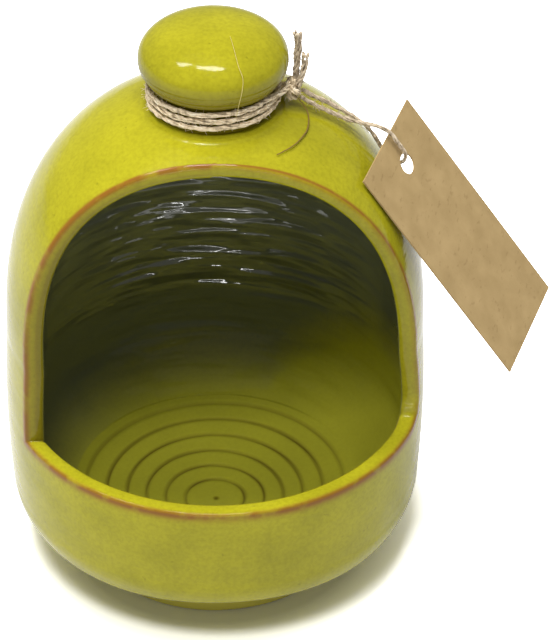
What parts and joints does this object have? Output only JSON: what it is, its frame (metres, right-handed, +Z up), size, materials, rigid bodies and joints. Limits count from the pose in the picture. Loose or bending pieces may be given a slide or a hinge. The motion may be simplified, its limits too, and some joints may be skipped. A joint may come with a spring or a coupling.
{
  "type": "salt pig",
  "caption": "Glazed wheel-thrown salt pig: closed dome with a wide arched front mouth and lip, round knob on a neck, foot ring, tied twine and a blank card swing tag.",
  "frame": {"origin": "centre of the foot ring's underside, on the pot's turning axis, where it stands on the table", "axes": "+Z up along the turning axis, the open mouth faces -Y, the knot and tag are on the +X side"},
  "size_m": [0.1578, 0.1218, 0.1753],
  "materials": {
    "glaze_body": "gloss",
    "glaze_knob": "gloss",
    "foot_clay": "matte",
    "twine": "rough",
    "card": "matte"
  },
  "bodies": {
    "pot": {"dome_body": "glaze_body", "foot_ring": "foot_clay", "knob": "glaze_knob"},
    "collar": {"neck_wrap": "twine", "tie_knot": "twine", "tail_long": "twine", "tail_short": "twine"},
    "lead": {"tag_lead": "twine"},
    "tag": {"swing_tag": "card"}
  },
  "joints": [
    {"name": "collar_turn", "type": "hinge", "parent": "pot", "child": "collar", "pos_m": [0, 0, 0.1551], "axis": [0, 0, 1], "continuous": true},
    {"name": "lead_lift", "type": "hinge", "parent": "collar", "child": "lead", "pos_m": [0.02159, 0, 0.15514], "axis": [0, -1, 0], "range_deg": [0, 60]},
    {"name": "tag_swing", "type": "hinge", "parent": "lead", "child": "tag", "pos_m": [0.0537, -0.0006, 0.1305], "axis": [0.7286, -0.3956, 0.5592], "range_deg": [-35, 35]}
  ]
}
